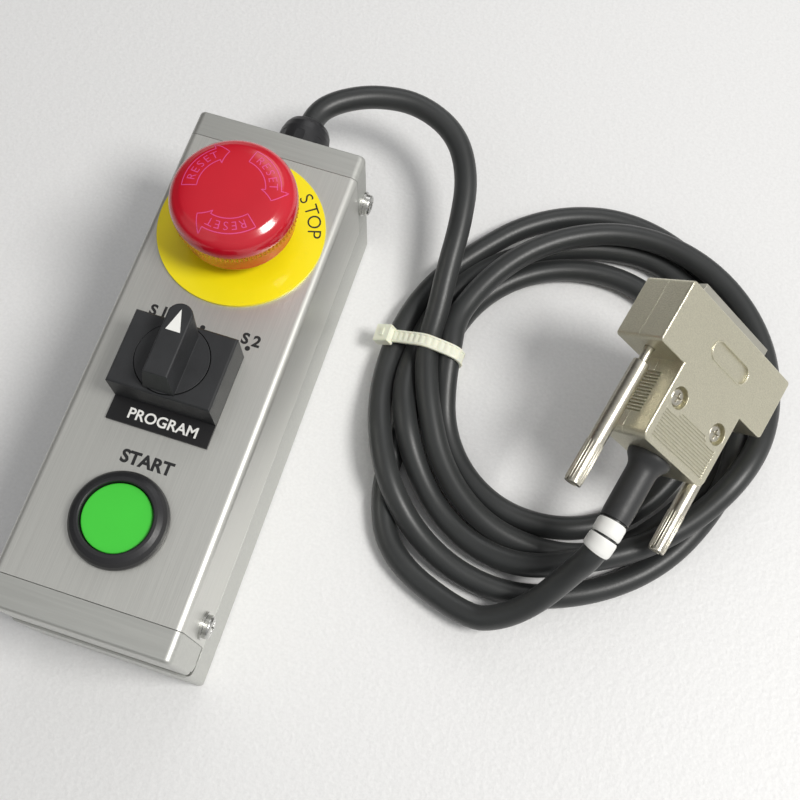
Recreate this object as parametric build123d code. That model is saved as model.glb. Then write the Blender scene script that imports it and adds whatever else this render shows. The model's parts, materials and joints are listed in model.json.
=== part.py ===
from build123d import *
import math
import os

# Pendant control station: an aluminium hand box with an emergency stop, a selector and a start
# button, a gland with a coiled cable, and a 25-way connector hood at the cable's far end.
# Frame: millimetres, +Z up, origin at the centre of the box's base, +Y towards the gland.

# ---- driving dimensions ------------------------------------------------------------------
BOX_WIDTH = 60.0
BOX_HEIGHT = 61.0
BOX_HALF_LENGTH = 89.0
WALL = 2.0
EDGE_ROUND = 2.4
COVER_NEAR_END = -78.3          # where the extruded cover meets the near end cap
COVER_FAR_END = 79.2
BASE_SIDE_HEIGHT = 24.2         # the base tray's side walls
BASE_NEAR_FLANGE_HEIGHT = 30.0
JOINT_GAP = 0.4                 # line between base tray and cover
CAP_GAP = 0.15                  # line between cover and end caps
CAP_SETBACK = 0.8               # the near cap stands back from the base tray's flange
RELIEF_RADIUS = 5.8             # curved relief slot at the near lower corners
RELIEF_SLOT = 1.8
RELIEF_RISE = 2.6                # height of the slot's straight run along the side seam

PANEL_HOLE_R = 11.15            # 22.3 mm control hole
BUSHING_R = 11.0
BUSHING_BOTTOM = 40.0
STEM_R = 4.0
RUNNING = 0.05                  # radial clearance of sliding and turning fits
LOCKNUT_R = 14.5

ESTOP_Y = 49.1
ESTOP_RING_R = 27.7
ESTOP_HEAD_R = 20.3
ESTOP_TOP = 88.0
ESTOP_TRAVEL = 4.5

SELECTOR_Y = -5.0
SELECTOR_SIZE = (33.2, 24.4)
SELECTOR_TOP = 75.3
ROTOR_R = 11.4
HANDLE_TOP = 85.0

START_Y = -53.6
START_BEZEL_R = 15.1
START_BEZEL_TOP = 66.4
START_BUTTON_R = 10.65
START_TRAVEL = 2.6
START_SETBACK = 1.5               # the button sits this far below the bezel rim

SCREW_R = 1.9                   # M4 side screws
SIDE_SCREW_NEAR_Y = -72.7
SIDE_SCREW_FAR_Y = 84.1
SIDE_SCREW_Z = 37.5

GLAND_X = 1.5
GLAND_Z = 38.0
GLAND_EXIT_Y = 108.2
CABLE_R = 4.25

COIL_CENTRE = (121.5, 49.5)
COIL_OUTER = (71.5, 82.0)       # half axes of the coil's outer and inner outlines
COIL_INNER = (42.8, 46.5)
COIL_LAYER = 8.5
FLOOR_GAP = 0.4

HOOD_WIDTH = 60.6
HOOD_THICK = 20.3
HOOD_FLANGE_DEPTH = 22.5
HOOD_BODY_WIDTH = 34.3
HOOD_LENGTH = 49.8
HOOD_CENTRE = (154.85, 45.75, 45.15)
HOOD_HEADING = -7.0
HOOD_ROLL = 41.0
HOOD_NOSE_UP = 10.0
JACK_SPACING = 47.04            # 25-way D-shell standard
JACK_KNOB_R = 2.85
JACK_KNOB_LENGTH = 45.0
JACK_NECK_R = 1.6
JACK_TIP_R = 1.42                 # No. 4-40 thread
JACK_TIP_OUT = 2.9                # reach in front of the hood when the screw is drawn back
BOOT_LENGTH = 24.0

# Routes of the uncoiled cable. Corner points; every corner gets the largest arc its runs allow.
LEAD_ROUTE = [
    (1.5, 108.2, 38.0), (1.5, 122.5, 38.0), (15.0, 133.5, 36.6), (35.0, 134.0, 34.6),
    (54.0, 126.0, 31.6), (63.5, 109.5, 28.6), (65.5, 91.0, 25.6), (64.8, 74.0, 21.4),
    (66.8, 60.0, 15.0),
]
TAIL_ROUTE = [
    (62.0, 5.0, 4.35), (67.0, -15.0, 4.35), (80.0, -35.0, 4.35), (99.0, -43.0, 5.0),
    (116.0, -39.0, 12.0), (129.5, -32.0, 25.0),
]                               # it goes on to the hood's own axis, see cable_tail below
TAIL_STRAIGHT = 14.0            # last run, in line with the hood

parts = {}


# ---- helpers -----------------------------------------------------------------------------
def cyl(radius, z0, z1, x=0.0, y=0.0):
    return Pos(x, y, (z0 + z1) / 2) * Cylinder(radius, z1 - z0)


def tube(r_out, r_in, z0, z1, x=0.0, y=0.0):
    return cyl(r_out, z0, z1, x, y) - cyl(r_in, z0 - 1, z1 + 1, x, y)


def slab(x0, x1, y0, y1, z0, z1):
    centre = Pos((x0 + x1) / 2, (y0 + y1) / 2, (z0 + z1) / 2)
    return centre * Box(x1 - x0, y1 - y0, z1 - z0)


def revolved(profile, x=0.0, y=0.0):
    """A turned piece about a vertical axis from (radius, height) corners."""
    face = make_face(Polyline(*[(r, 0, z) for r, z in profile], close=True))
    return Pos(x, y, 0) * revolve(face, Axis.Z)


def across_x(radius, x0, x1, y, z):
    return Pos((x0 + x1) / 2, y, z) * (Rot(0, 90, 0) * Cylinder(radius, x1 - x0))


def along_y(radius, y0, y1, x, z):
    return Pos(x, (y0 + y1) / 2, z) * (Rot(90, 0, 0) * Cylinder(radius, y1 - y0))


def hexagon_y(across_flats, y0, y1, x, z):
    prism = extrude(RegularPolygon(across_flats / 2, 6, major_radius=False), y1 - y0)
    return Pos(x, y1, z) * (Rot(90, 0, 0) * prism)


def helix_spring(radius, wire_r, z0, z1, turns, x, y):
    """A wound spring whose wire centre runs from z0 to z1."""
    path = Helix(pitch=(z1 - z0) / turns, height=z1 - z0, radius=radius)
    start = Plane(origin=path @ 0, z_dir=path % 0)
    return Pos(x, y, z0) * sweep(start * Circle(wire_r), path=path)


def run_lengths(route):
    return [(Vector(*b) - Vector(*a)).length for a, b in zip(route, route[1:])]


def corner_radii(route):
    runs = run_lengths(route)
    radii = []
    for i in range(1, len(route) - 1):
        before = Vector(*route[i]) - Vector(*route[i - 1])
        after = Vector(*route[i + 1]) - Vector(*route[i])
        half_turn = math.radians(before.get_angle(after)) / 2
        radii.append(0.45 * min(runs[i - 1], runs[i]) / math.tan(half_turn))
    return radii


def cable_tube(name, route, radius):
    radii = corner_radii(route)
    path = FilletPolyline(*route, radius=radii)
    solid = sweep(Plane(origin=path @ 0, z_dir=path % 0) * Circle(radius), path=path)
    expected = math.pi * radius ** 2 * path.length
    print(name, "radii", [round(r, 1) for r in radii], "length", round(path.length, 1),
          "volume ratio", round(solid.volume / expected, 4))
    return solid


def pan_head_screw(shank_r, shank_length, head_r, head_height):
    """A cross-recessed screw along Z, its head above z = 0 and its shank below."""
    head = fillet(Cylinder(head_r, head_height).edges().sort_by(Axis.Z)[-1], 0.45 * head_height)
    head = Pos(0, 0, head_height / 2) * head
    shank = cyl(shank_r, -shank_length, 0.01)
    slot = Box(1.15 * head_r, 0.24 * head_r, head_height)
    recess = Pos(0, 0, head_height) * (slot + Rot(0, 0, 90) * slot)
    return (head + shank) - recess


# ---- housing -----------------------------------------------------------------------------
HALF = BOX_WIDTH / 2
COVER_BOTTOM = BASE_SIDE_HEIGHT + JOINT_GAP
PANEL_UNDERSIDE = BOX_HEIGHT - WALL
SCREW_TAB_INNER = HALF - WALL - 0.2
SCREW_TAB_THICK = 1.6


def screw_hole(radius, y):
    return across_x(radius, -HALF - 1, HALF + 1, y, SIDE_SCREW_Z)


def screw_tabs(y0, y1):
    """Inner tabs behind the side walls, one each side, that take the side screws."""
    tabs = []
    for side in (-1, 1):
        inner = side * (SCREW_TAB_INNER - SCREW_TAB_THICK)
        outer = side * SCREW_TAB_INNER
        tabs.append(slab(min(inner, outer), max(inner, outer), y0, y1,
                         SIDE_SCREW_Z - 4.5, SIDE_SCREW_Z + 4.5))
    return tabs


def top_cover():
    length = COVER_FAR_END - COVER_NEAR_END
    outer = slab(-HALF, HALF, COVER_NEAR_END, COVER_FAR_END, COVER_BOTTOM, BOX_HEIGHT)
    outer = fillet(outer.edges().filter_by(Axis.Y).group_by(Axis.Z)[-1], EDGE_ROUND)
    hollow = slab(-HALF + WALL, HALF - WALL, COVER_NEAR_END - 1, COVER_FAR_END + 1, 0,
                  PANEL_UNDERSIDE)
    cover = outer - hollow
    for y in (ESTOP_Y, SELECTOR_Y, START_Y):
        cover -= cyl(PANEL_HOLE_R, 50, 70, 0, y)
    cover -= screw_hole(SCREW_R + 0.25, SIDE_SCREW_NEAR_Y)
    # lugs under the panel that reach into the far cap for its screws
    for tab in screw_tabs(COVER_FAR_END - 4, COVER_FAR_END + 7.4):
        cover += tab
    for side in (-1, 1):
        x0, x1 = sorted((side * (SCREW_TAB_INNER - 0.1), side * (HALF - WALL + 0.1)))
        cover += slab(x0, x1, COVER_FAR_END - 4, COVER_FAR_END - 0.2,
                      SIDE_SCREW_Z - 4.5, SIDE_SCREW_Z + 4.5)
    return cover - screw_hole(SCREW_R + 0.05, SIDE_SCREW_FAR_Y)


def base_tray():
    far = BOX_HALF_LENGTH
    shell = slab(-HALF, HALF, -far, far, 0, BASE_NEAR_FLANGE_HEIGHT)
    shell = fillet(shell.edges().filter_by(Axis.Z), 1.6)
    shell = fillet(shell.edges().group_by(Axis.Z)[0], 1.2)
    shell -= slab(-HALF + WALL, HALF - WALL, -far + WALL, far - WALL, WALL, 50)
    # the side walls and the far wall are lower than the near flange
    shell -= slab(-HALF - 1, HALF + 1, -far + RELIEF_RADIUS + 0.8, far + 1, BASE_SIDE_HEIGHT, 50)
    relief_centre_y = -far + RELIEF_RADIUS + 0.8
    shell -= across_x(RELIEF_RADIUS, -HALF - 1, HALF + 1, relief_centre_y,
                      BASE_SIDE_HEIGHT + RELIEF_RADIUS)
    # upstands inside the cover's sides
    for side in (-1, 1):
        x0, x1 = sorted((side * (HALF - WALL - 1.7), side * (HALF - WALL - 0.15)))
        shell += slab(x0, x1, COVER_NEAR_END + 1, COVER_FAR_END - 5, 18, BASE_SIDE_HEIGHT + 6)
        x0, x1 = sorted((side * (HALF - WALL - 0.2), side * (HALF - WALL + 0.2)))
        shell += slab(x0, x1, COVER_NEAR_END + 1, COVER_FAR_END - 5, 18, BASE_SIDE_HEIGHT - 1)
    return shell


def cap_block(y0, y1, closed_side):
    """One hollow end cap, closed at its low-Y (-1) or high-Y (+1) end."""
    outer = slab(-HALF, HALF, y0, y1, COVER_BOTTOM, BOX_HEIGHT)
    outer = fillet(outer.edges().filter_by(Axis.Y).group_by(Axis.Z)[-1], EDGE_ROUND)
    closed_edges = outer.faces().sort_by(Axis.Y)[-1 if closed_side > 0 else 0].edges()
    outer = fillet(closed_edges.filter_by(lambda e: e.center().Z > COVER_BOTTOM + 0.1), 1.3)
    hollow_y0 = y0 - 1 if closed_side > 0 else y0 + WALL
    hollow_y1 = y1 - WALL if closed_side > 0 else y1 + 1
    return outer - slab(-HALF + WALL, HALF - WALL, hollow_y0, hollow_y1, 0, PANEL_UNDERSIDE)


def end_cap_near():
    y0 = -BOX_HALF_LENGTH + CAP_SETBACK
    y1 = COVER_NEAR_END - CAP_GAP
    cap = cap_block(y0, y1, -1)
    # relief slots over the base tray's near flange
    relief_y = -BOX_HALF_LENGTH + RELIEF_RADIUS + 0.8
    relief_z = BASE_SIDE_HEIGHT + RELIEF_RADIUS
    flange_zone = slab(-HALF - 1, HALF + 1, -BOX_HALF_LENGTH - 1, relief_y, 0, relief_z)
    flange_zone -= across_x(RELIEF_RADIUS - RELIEF_SLOT + 0.4, -HALF - 2, HALF + 2, relief_y, relief_z)
    flange_zone += slab(-HALF - 1, HALF + 1, -BOX_HALF_LENGTH - 1, -BOX_HALF_LENGTH + WALL + 0.4, 0,
                        relief_z + 0.6)
    flange_zone += slab(-HALF - 1, HALF + 1, relief_y - 1, relief_y + 4.0, 0, BASE_SIDE_HEIGHT + RELIEF_RISE)
    cap -= flange_zone
    # screw tabs that reach under the cover
    for tab in screw_tabs(COVER_NEAR_END - 6, COVER_NEAR_END + 11):
        cap += tab
    for side in (-1, 1):
        x0, x1 = sorted((side * (SCREW_TAB_INNER - 0.1), side * (HALF - WALL + 0.1)))
        cap += slab(x0, x1, COVER_NEAR_END - 6, y1 - 0.2, SIDE_SCREW_Z - 4.5, SIDE_SCREW_Z + 4.5)
    return cap - screw_hole(SCREW_R + 0.05, SIDE_SCREW_NEAR_Y)


def end_cap_far():
    cap = cap_block(COVER_FAR_END + CAP_GAP, BOX_HALF_LENGTH, 1)
    cap -= along_y(8.1, 80, 95, GLAND_X, GLAND_Z)
    return cap - screw_hole(SCREW_R + 0.25, SIDE_SCREW_FAR_Y)


def side_fasteners():
    screws = []
    washers = []
    for y in (SIDE_SCREW_NEAR_Y, SIDE_SCREW_FAR_Y):
        for side in (-1, 1):
            turn = Rot(0, 90, 0) if side > 0 else Rot(0, -90, 0)
            screw = pan_head_screw(SCREW_R, 5.0, 3.8, 2.3)
            screws.append(Pos(side * (HALF + 0.8), y, SIDE_SCREW_Z) * (turn * screw))
            washers.append(Pos(side * HALF, y, SIDE_SCREW_Z)
                           * (turn * tube(4.5, SCREW_R + 0.2, 0, 0.8)))
    return screws, washers


parts["top_cover"] = top_cover()
parts["base_tray"] = base_tray()
parts["end_cap_near"] = end_cap_near()
parts["end_cap_far"] = end_cap_far()
parts["side_screws"], parts["side_washers"] = side_fasteners()


# ---- shared pieces of the three controls ---------------------------------------------------
CHAMBER_R = 8.2
CHAMBER_TOP = 59.0
CHAMBER_BOTTOM = 45.0
SPRING_TOP = 56.8
STEM_BOTTOM = 38.0


def locknut(y):
    nut = tube(LOCKNUT_R, BUSHING_R + RUNNING, 54.6, PANEL_UNDERSIDE, 0, y)
    for k in range(12):
        notch = Rot(0, 0, 30 * k) * (Pos(LOCKNUT_R, 0, 55.5) * Box(1.6, 2.4, 3))
        nut -= Pos(0, y, 0) * notch
    return nut


def contact_block(y, well_r):
    """Switch block under a control: a moulded box with a well for the plunger."""
    block = slab(-12, 12, y - 10, y + 10, 13, BUSHING_BOTTOM)
    block = fillet(block.edges().filter_by(Axis.Z), 1.2)
    block -= cyl(well_r, 28, 50, 0, y)
    for side in (-1, 1):
        for dy in (-5, 5):
            block -= Pos(side * 12, y + dy, 18) * Box(5, 6.4, 10.1)
    return block


def terminal_screws(y):
    screws = []
    for side in (-1, 1):
        for dy in (-5, 5):
            screw = pan_head_screw(1.5, 3.0, 2.7, 1.2)
            turn = Rot(0, 90, 0) if side > 0 else Rot(0, -90, 0)
            body = Pos(side * 9.5, y + dy, 18) * (turn * (screw - cyl(9, -5, 0)))
            screws.append(body)
    return screws


def plunger_stem(top, y):
    """Stem with the spring flange, running in the bushing's two guide bores."""
    return cyl(STEM_R, STEM_BOTTOM, top, 0, y) + cyl(7.7, SPRING_TOP, CHAMBER_TOP - 0.2, 0, y)


# ---- emergency stop ------------------------------------------------------------------------
RING_TOP = BOX_HEIGHT + 1.0
GASKET_TOP = RING_TOP + 0.6
COLLAR_R = 13.8
COLLAR_TOP = 70.5
SKIRT_LOW = 69.2


def estop_head():
    """Mushroom head: domed cap, upright rim and a skirt round the fixed collar."""
    clear_r = COLLAR_R + 0.6
    profile = [
        (0, ESTOP_TOP), (9.0, ESTOP_TOP - 0.15), (13.5, ESTOP_TOP - 0.6), (16.6, ESTOP_TOP - 1.5),
        (18.8, ESTOP_TOP - 3.0), (20.0, ESTOP_TOP - 5.2), (ESTOP_HEAD_R, ESTOP_TOP - 7.4),
        (20.1, 77.6), (19.6, 76.2), (18.9, 75.6), (18.6, SKIRT_LOW), (clear_r, SKIRT_LOW),
        (clear_r, COLLAR_TOP + ESTOP_TRAVEL + 0.6), (STEM_R + 0.1, COLLAR_TOP + ESTOP_TRAVEL + 0.6),
        (STEM_R + RUNNING, 84.0), (0, 84.0),
    ]
    return revolved(profile, 0, ESTOP_Y)


parts["estop_legend_ring"] = tube(ESTOP_RING_R, PANEL_HOLE_R, BOX_HEIGHT, RING_TOP, 0, ESTOP_Y)
parts["estop_gasket"] = tube(COLLAR_R - 0.4, BUSHING_R + 0.1, RING_TOP, GASKET_TOP, 0, ESTOP_Y)
collar = cyl(COLLAR_R, GASKET_TOP, COLLAR_TOP, 0, ESTOP_Y)
collar = fillet(collar.edges().sort_by(Axis.Z)[-1], 0.6)
estop_body = collar + cyl(BUSHING_R, BUSHING_BOTTOM, GASKET_TOP + 0.1, 0, ESTOP_Y)
estop_body -= cyl(CHAMBER_R, CHAMBER_BOTTOM, CHAMBER_TOP, 0, ESTOP_Y)
parts["estop_body"] = estop_body - cyl(STEM_R + RUNNING, 30, 90, 0, ESTOP_Y)
parts["estop_head"] = estop_head()
parts["estop_stem"] = plunger_stem(83.9, ESTOP_Y)
parts["estop_spring"] = helix_spring(6.3, 0.5, CHAMBER_BOTTOM + 0.6, SPRING_TOP - 0.6, 5, 0, ESTOP_Y)
parts["estop_locknut"] = locknut(ESTOP_Y)
parts["estop_contact_block"] = contact_block(ESTOP_Y, STEM_R + 0.6)

# ---- selector ------------------------------------------------------------------------------
PLATE_TOP = BOX_HEIGHT + 1.0
ROTOR_SEAT = 72.0
SHAFT_R = 6.0


def selector_base():
    width, depth = SELECTOR_SIZE
    block = slab(-width / 2, width / 2, SELECTOR_Y - depth / 2, SELECTOR_Y + depth / 2, PLATE_TOP,
                 SELECTOR_TOP)
    block = chamfer(block.edges().group_by(Axis.Z)[-1], 0.5)
    block += cyl(BUSHING_R, 45.0, PLATE_TOP + 0.1, 0, SELECTOR_Y)
    block -= cyl(ROTOR_R + 0.25, ROTOR_SEAT, 90, 0, SELECTOR_Y)
    return block - cyl(SHAFT_R + RUNNING, 30, 90, 0, SELECTOR_Y)


def selector_knob():
    """Turning disc with its bar handle, pointing along +Y at rest."""
    disc = cyl(ROTOR_R, ROTOR_SEAT + 0.2, SELECTOR_TOP + 0.3)
    nose_y, tail_y = 14.6, -11.0
    low = Plane.XY.offset(SELECTOR_TOP + 0.2) * handle_outline(5.0, nose_y - 1.8, tail_y)
    high = Plane.XY.offset(HANDLE_TOP) * handle_outline(3.8, nose_y, tail_y + 1.9)
    handle = loft([low, high])
    handle = fillet(handle.edges().group_by(Axis.Z)[-1], 0.5)
    shaft = cyl(SHAFT_R, STEM_BOTTOM, ROTOR_SEAT + 0.3)
    groove = tube(SHAFT_R + 1, 5.3, 43.4, 44.6)
    return Pos(0, SELECTOR_Y, 0) * (disc + handle + shaft - groove)


def handle_outline(half_width, nose_y, tail_y):
    bow = half_width * 0.75
    outline = Polyline((half_width, nose_y - bow), (half_width, tail_y), (-half_width, tail_y),
                       (-half_width, nose_y - bow))
    nose = ThreePointArc((-half_width, nose_y - bow), (0, nose_y), (half_width, nose_y - bow))
    return make_face(outline + nose)


def selector_pointer():
    """White inlay triangle on the handle's top."""
    face = make_face(Polyline((0, 12.4), (-2.3, 5.2), (2.3, 5.2), close=True))
    return Pos(0, SELECTOR_Y, HANDLE_TOP) * extrude(face, 0.12)


plate_half = SELECTOR_SIZE[0] / 2
selector_plate = slab(-plate_half, plate_half, SELECTOR_Y - 19.9, SELECTOR_Y + 12.2, BOX_HEIGHT,
                      PLATE_TOP)
parts["selector_plate"] = selector_plate - cyl(PANEL_HOLE_R, 50, 70, 0, SELECTOR_Y)
parts["selector_base"] = selector_base()
parts["selector_knob"] = selector_knob()
parts["selector_pointer"] = selector_pointer()
parts["selector_circlip"] = tube(8.0, 5.3, 43.4, 44.6, 0, SELECTOR_Y) - slab(
    -1.5, 1.5, SELECTOR_Y + 4, SELECTOR_Y + 9, 43, 45)
parts["selector_locknut"] = locknut(SELECTOR_Y)
parts["selector_contact_block"] = contact_block(SELECTOR_Y, SHAFT_R + 0.6)

# ---- start button --------------------------------------------------------------------------
START_SEAT = 60.3
START_GASKET_TOP = BOX_HEIGHT + 0.5


def start_bezel():
    """Bevelled ring, pocket floor and threaded bushing, turned in one piece."""
    pocket_r = START_BUTTON_R + 0.3
    bore_r = STEM_R + RUNNING
    profile = [
        (bore_r, CHAMBER_TOP), (bore_r, START_SEAT), (pocket_r, START_SEAT),
        (pocket_r, START_BEZEL_TOP - 0.3), (pocket_r + 0.4, START_BEZEL_TOP),
        (12.3, START_BEZEL_TOP - 0.1), (13.8, START_BEZEL_TOP - 1.0), (14.7, START_BEZEL_TOP - 2.4),
        (START_BEZEL_R, 62.6), (START_BEZEL_R, START_GASKET_TOP), (BUSHING_R, START_GASKET_TOP),
        (BUSHING_R, BUSHING_BOTTOM), (bore_r, BUSHING_BOTTOM), (bore_r, CHAMBER_BOTTOM),
        (CHAMBER_R, CHAMBER_BOTTOM), (CHAMBER_R, CHAMBER_TOP),
    ]
    return revolved(profile, 0, START_Y)


def start_button():
    top = START_BEZEL_TOP - START_SETBACK
    cap = cyl(START_BUTTON_R, START_SEAT + START_TRAVEL + 0.15, top, 0, START_Y)
    return fillet(cap.edges().sort_by(Axis.Z)[-1], 0.35)


parts["start_gasket"] = tube(14.0, BUSHING_R + 0.1, BOX_HEIGHT, START_GASKET_TOP, 0, START_Y)
parts["start_bezel"] = start_bezel()
parts["start_button"] = start_button()
parts["start_stem"] = plunger_stem(START_SEAT + START_TRAVEL + 0.15, START_Y)
parts["start_spring"] = helix_spring(6.3, 0.5, CHAMBER_BOTTOM + 0.6, SPRING_TOP - 0.6, 5, 0, START_Y)
parts["start_locknut"] = locknut(START_Y)
parts["start_contact_block"] = contact_block(START_Y, STEM_R + 0.6)
parts["terminal_screws"] = [screw for y in (ESTOP_Y, SELECTOR_Y, START_Y)
                            for screw in terminal_screws(y)]

# ---- gland and wiring inside the box ---------------------------------------------------------
CABLE_INNER_Y = 74.0


def gland_nut():
    profile = [
        (CABLE_R + 0.25, GLAND_EXIT_Y), (6.2, GLAND_EXIT_Y), (7.6, 107.2), (8.7, 105.2),
        (9.3, 102.6), (9.5, 99.5), (9.5, 93.6), (7.8, 93.6), (7.8, 101.4), (CABLE_R + 0.25, 105.6),
    ]
    turned = revolve(make_face(Polyline(*[(r, 0, z) for r, z in profile], close=True)), Axis.Z)
    for k in range(8):
        flat = Rot(0, 0, 45 * k) * (Pos(10.1, 0, 97.0) * Box(1.6, 3.2, 7.5))
        turned -= flat
    return Pos(GLAND_X, 0, GLAND_Z) * (Rot(-90, 0, 0) * turned)


gland_body = hexagon_y(19.0, BOX_HALF_LENGTH, 93.2, GLAND_X, GLAND_Z)
gland_body += along_y(7.6, 93.0, 100.5, GLAND_X, GLAND_Z)
gland_body += along_y(7.9, 79.0, BOX_HALF_LENGTH + 0.1, GLAND_X, GLAND_Z)
gland_body -= along_y(CABLE_R + 0.35, 70, 120, GLAND_X, GLAND_Z)
gland_body -= along_y(6.4, 94.0, 120, GLAND_X, GLAND_Z)
parts["gland_body"] = gland_body
parts["gland_nut"] = gland_nut()
parts["gland_seal"] = (along_y(6.3, 94.1, 101.2, GLAND_X, GLAND_Z)
                       - along_y(CABLE_R, 90, 110, GLAND_X, GLAND_Z))
parts["gland_locknut"] = (hexagon_y(20.0, 82.8, BOX_HALF_LENGTH - WALL, GLAND_X, GLAND_Z)
                          - along_y(7.9 + RUNNING, 70, 100, GLAND_X, GLAND_Z))
parts["cable_entry"] = along_y(CABLE_R, CABLE_INNER_Y, GLAND_EXIT_Y, GLAND_X, GLAND_Z)


def core_wires():
    """Six insulated cores that fan out from the cable to the three switch blocks."""
    wires = []
    for index, y in enumerate((ESTOP_Y, SELECTOR_Y, START_Y)):
        for side in (-1, 1):
            x = GLAND_X + side * 2.2
            z = GLAND_Z + 2.2 - 2.2 * index
            lane_x = side * (17.0 + 2.2 * index)
            lane_z = 30.0 - 2.2 * index
            route = [(x, CABLE_INNER_Y, z), (x, CABLE_INNER_Y - 5, z), (lane_x, 63.0, lane_z),
                     (lane_x, y + 7.0, lane_z), (side * 16.4, y + 1.0, 26.0),
                     (side * 12.0, y + 1.0, 26.0)]
            path = FilletPolyline(*route, radius=corner_radii(route))
            wires.append(sweep(Plane(origin=path @ 0, z_dir=path % 0) * Circle(0.8), path=path))
    return wires


parts["core_wires"] = core_wires()

# ---- where the connector lies ----------------------------------------------------------------
# Local axes: X along the flange, Y towards the mating face, Z out of the upper shell.
FRONT_Y = HOOD_LENGTH / 2
BACK_Y = -HOOD_LENGTH / 2
HOOD_CABLE_END = BACK_Y - 25.0


def placed(shape):
    seat = (Location(HOOD_CENTRE) * Rot(0, 0, HOOD_HEADING) * Rot(0, HOOD_ROLL, 0)
            * Rot(HOOD_NOSE_UP, 0, 0))
    if isinstance(shape, list):
        return [seat * item for item in shape]
    return seat * shape


# ---- cable outside the box -------------------------------------------------------------------
def coil_band(outer, inner, z0, z1):
    band = Ellipse(*outer) - Ellipse(*inner)
    return Pos(COIL_CENTRE[0], COIL_CENTRE[1], z0) * extrude(band, z1 - z0)


def coil_sector(from_deg, to_deg, reach=140.0):
    """Vertical wedge about the coil's centre, used to keep part of a layer."""
    steps = [from_deg + (to_deg - from_deg) * k / 4 for k in range(5)]
    corners = [(0.0, 0.0)] + [(reach * math.cos(math.radians(a)), reach * math.sin(math.radians(a)))
                              for a in steps]
    wedge = extrude(make_face(Polyline(*corners, close=True)), 60)
    return Pos(COIL_CENTRE[0], COIL_CENTRE[1], 0) * wedge


def cable_coil():
    """Outer shape of the turns: a full lower layer and the stretches that lie on top of it."""
    low_top = FLOOR_GAP + COIL_LAYER
    high_top = low_top + COIL_LAYER
    coil = coil_band(COIL_OUTER, COIL_INNER, FLOOR_GAP, low_top)
    right = coil_band((72.0, 76.5), (62.5, 66.0), low_top - 0.1, high_top) & coil_sector(-45, 100)
    left = coil_band((60.5, 68.0), (43.0, 47.0), low_top - 0.1, high_top) & coil_sector(100, 262)
    return coil + right + left


TIE_OUTER = (31.9, 4.8, 18.6)
TIE_THICK = 1.2
TIE_CENTRE = (64.4, 49.5, 9.35)


def cable_tie():
    """Closed strap round the bundle with its square head on the outer side."""
    inner = Box(TIE_OUTER[0] - 2 * TIE_THICK, TIE_OUTER[1] + 1, TIE_OUTER[2] - 2 * TIE_THICK)
    strap = fillet(Box(*TIE_OUTER).edges().filter_by(Axis.Y), 1.0) - inner
    head = fillet(Box(4.6, 7.0, 8.4).edges().filter_by(Axis.Y), 0.8)
    head = Pos(-TIE_OUTER[0] / 2 - 1.6, 0, -1.6) * head
    return Pos(*TIE_CENTRE) * (strap + (head - Box(TIE_OUTER[0] - 0.2, 9, 12)))


def tie_hole_filler():
    """The strap's outline, cut out of the coil so that the strap lies in the bundle's skin."""
    ring = Box(60, TIE_OUTER[1], 40) - Box(TIE_OUTER[0] - 2 * TIE_THICK, 9, TIE_OUTER[2] - 2 * TIE_THICK)
    return Pos(*TIE_CENTRE) * ring


def cable_tail_route():
    hood_end = placed(Pos(0, HOOD_CABLE_END, 0) * Vertex(0, 0, 0)).center()
    straight_start = placed(Pos(0, HOOD_CABLE_END - TAIL_STRAIGHT, 0) * Vertex(0, 0, 0)).center()
    return TAIL_ROUTE + [tuple(straight_start), tuple(hood_end)]


parts["cable_lead"] = cable_tube("lead", LEAD_ROUTE, CABLE_R)
parts["cable_tail"] = cable_tube("tail", cable_tail_route(), CABLE_R)
parts["cable_tie"] = cable_tie()
parts["cable_coil"] = cable_coil() - parts["cable_lead"] - parts["cable_tail"] - tie_hole_filler()

# ---- connector, built level about its own centre and then laid on the coil --------------------
LEDGE_Y = FRONT_Y - HOOD_FLANGE_DEPTH
PARTING = 0.05
HOOD_WALL = 2.4
DSUB_FLANGE = (53.0, 12.4)
DSUB_SHELL = (38.9, 8.3)
JACK_X = JACK_SPACING / 2


def hood_blank():
    """Full outer shape of the hood: wide flange block and narrower cable body."""
    flange = slab(-HOOD_WIDTH / 2, HOOD_WIDTH / 2, LEDGE_Y, FRONT_Y, -HOOD_THICK / 2, HOOD_THICK / 2)
    flange = fillet(flange.edges().filter_by(Axis.Z), 1.3)
    half_body = HOOD_BODY_WIDTH / 2
    body = slab(-half_body, half_body, BACK_Y, LEDGE_Y + 1, -HOOD_THICK / 2, HOOD_THICK / 2)
    body = fillet(body.edges().filter_by(Axis.Z).group_by(Axis.Y)[0], 2.8)
    body = body & rounded_underside()
    flange = fillet(flange.edges().group_by(Axis.Z)[-1] + flange.edges().group_by(Axis.Z)[0], 0.6)
    body = fillet(body.edges().group_by(Axis.Z)[-1], 0.6)
    grips = []
    for k in range(13):
        for side in (-1, 1):
            grips.append(Pos(side * half_body, LEDGE_Y - 5.0 - 1.2 * k, -1.0) * Box(1.4, 0.7, 9.0))
    return flange + body - grips


def rounded_underside():
    """Bar with generous lower edges that gives the cable body its rounded belly."""
    half_body = HOOD_BODY_WIDTH / 2
    bar = slab(-half_body, half_body, BACK_Y - 1, LEDGE_Y + 2, -HOOD_THICK / 2, HOOD_THICK)
    return fillet(bar.edges().filter_by(Axis.Y).group_by(Axis.Z)[0], 6.0)


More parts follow.
